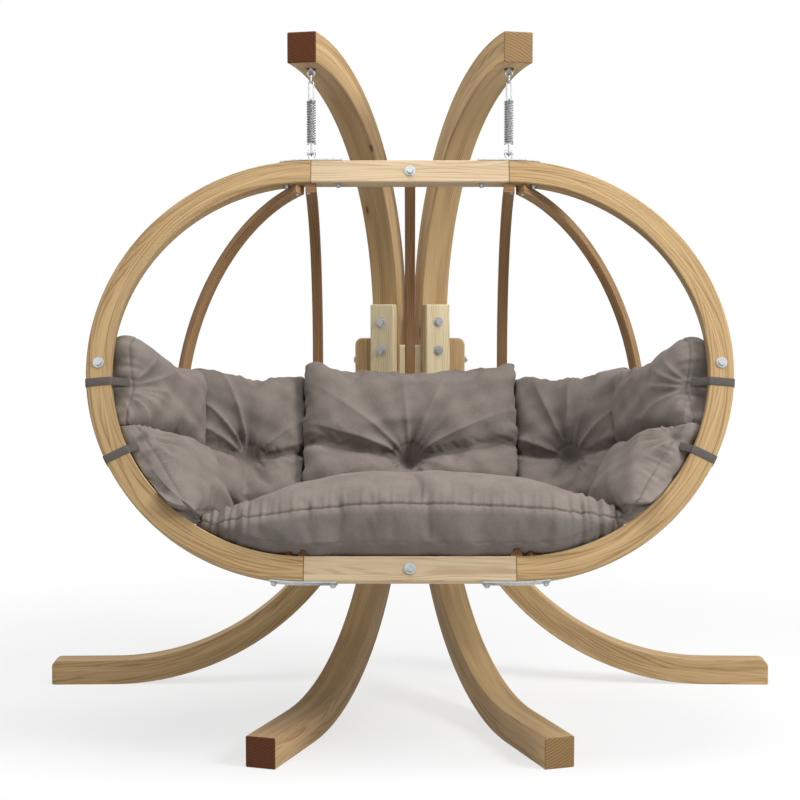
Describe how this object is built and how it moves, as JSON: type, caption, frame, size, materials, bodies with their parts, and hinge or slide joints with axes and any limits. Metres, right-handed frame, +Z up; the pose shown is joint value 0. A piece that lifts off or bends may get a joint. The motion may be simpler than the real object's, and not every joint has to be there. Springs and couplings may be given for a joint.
{
  "type": "double hanging egg chair with stand",
  "caption": "Two-seat hanging egg chair: an oval laminated-wood ring with ribs and tufted cushions, hung on springs from a bowed wooden stand with splayed feet.",
  "frame": {"origin": "on the floor, under the middle of the object's box", "axes": "+Z up, +X to the sitter's left as seen from the front (right in the picture), front towards -Y"},
  "size_m": [2.281, 1.1238, 1.9599],
  "materials": {
    "stand_wood": "oiled laminated spruce",
    "ring_wood": "oiled laminated spruce",
    "rib_wood": "oiled laminated spruce",
    "cushion_cloth": "plain weave",
    "strap_webbing": "webbing",
    "zinc_steel": "zinc plated",
    "spring_steel": "zinc plated wire"
  },
  "bodies": {
    "stand": {"cross_bolts": "zinc_steel", "eye_bolt_left": "zinc_steel", "eye_bolt_right": "zinc_steel", "eye_nuts": "zinc_steel", "eye_washers": "zinc_steel", "lower_arc_left": "stand_wood", "lower_arc_right": "stand_wood", "side_leg_left": "stand_wood", "side_leg_right": "stand_wood", "spacer_board": "stand_wood", "spacer_screws": "zinc_steel", "splice_board_left": "stand_wood", "splice_board_right": "stand_wood", "splice_bolts": "zinc_steel", "stand_nuts": "zinc_steel", "stand_washers": "zinc_steel", "upper_arc_left": "stand_wood", "upper_arc_right": "stand_wood"},
    "links": {"hanger_link_left": "zinc_steel", "hanger_link_right": "zinc_steel"},
    "left_upper_drawbar": {"upper_drawbar_left": "zinc_steel", "spring_coil_left": "spring_steel"},
    "right_upper_drawbar": {"upper_drawbar_right": "zinc_steel", "spring_coil_right": "spring_steel"},
    "left_lower_drawbar": {"lower_drawbar_left": "zinc_steel"},
    "right_lower_drawbar": {"lower_drawbar_right": "zinc_steel"},
    "left_bush": {"pin_bush_left": "zinc_steel"},
    "chair": {"back_cushion_center": "cushion_cloth", "back_cushion_left": "cushion_cloth", "back_cushion_right": "cushion_cloth", "bottom_beam": "ring_wood", "bottom_plate_left": "zinc_steel", "bottom_plate_right": "zinc_steel", "equator_hoop": "rib_wood", "frame_bolts": "zinc_steel", "frame_washers": "zinc_steel", "hang_pin_left": "zinc_steel", "hang_pin_right": "zinc_steel", "hang_plate_left": "zinc_steel", "hang_plate_right": "zinc_steel", "pin_bush_right": "zinc_steel", "plate_bolts": "zinc_steel", "plate_nuts": "zinc_steel", "plate_washers": "zinc_steel", "rib_back_left": "rib_wood", "rib_back_right": "rib_wood", "rib_center": "rib_wood", "rib_screws": "zinc_steel", "rib_side_left": "rib_wood", "rib_side_right": "rib_wood", "ring_arc_left": "ring_wood", "ring_arc_right": "ring_wood", "ring_straps": "strap_webbing", "seat_cushion": "cushion_cloth", "side_cushion_lower_left": "cushion_cloth", "side_cushion_lower_right": "cushion_cloth", "side_cushion_upper_left": "cushion_cloth", "side_cushion_upper_right": "cushion_cloth", "top_beam": "ring_wood"}
  },
  "joints": [
    {"name": "swing", "type": "hinge", "parent": "stand", "child": "links", "pos_m": [0, -0.12369, 1.84528], "axis": [1, 0, 0], "range_deg": [-9, 9]},
    {"name": "sway", "type": "hinge", "parent": "links", "child": "left_upper_drawbar", "pos_m": [-0.274, -0.12369, 1.82728], "axis": [0, 1, 0], "range_deg": [-6, 6]},
    {"name": "sway_right", "type": "hinge", "parent": "links", "child": "right_upper_drawbar", "pos_m": [0.274, -0.12369, 1.82728], "axis": [0, 1, 0], "range_deg": [-6, 6]},
    {"name": "bounce", "type": "slide", "parent": "left_upper_drawbar", "child": "left_lower_drawbar", "axis": [0, 0, -1], "range_m": [-0.005, 0.035], "stiffness_N_per_m": 28000, "springref_m": -0.0111, "deforming": ["spring_coil_left"]},
    {"name": "bounce_right", "type": "slide", "parent": "right_upper_drawbar", "child": "right_lower_drawbar", "axis": [0, 0, -1], "range_m": [-0.005, 0.035], "stiffness_N_per_m": 28000, "springref_m": -0.0111, "deforming": ["spring_coil_right"]},
    {"name": "level", "type": "hinge", "parent": "left_lower_drawbar", "child": "left_bush", "pos_m": [-0.274, -0.12369, 1.63328], "axis": [0, 1, 0], "range_deg": [-6, 6]},
    {"name": "tilt", "type": "hinge", "parent": "left_bush", "child": "chair", "pos_m": [0, -0.12369, 1.63328], "axis": [1, 0, 0], "range_deg": [-7, 7]}
  ],
  "couplings": [
    {"joint": "sway_right", "follows": "sway", "ratio": 1},
    {"joint": "bounce_right", "follows": "bounce", "ratio": 1},
    {"joint": "level", "follows": "sway", "ratio": -1}
  ]
}
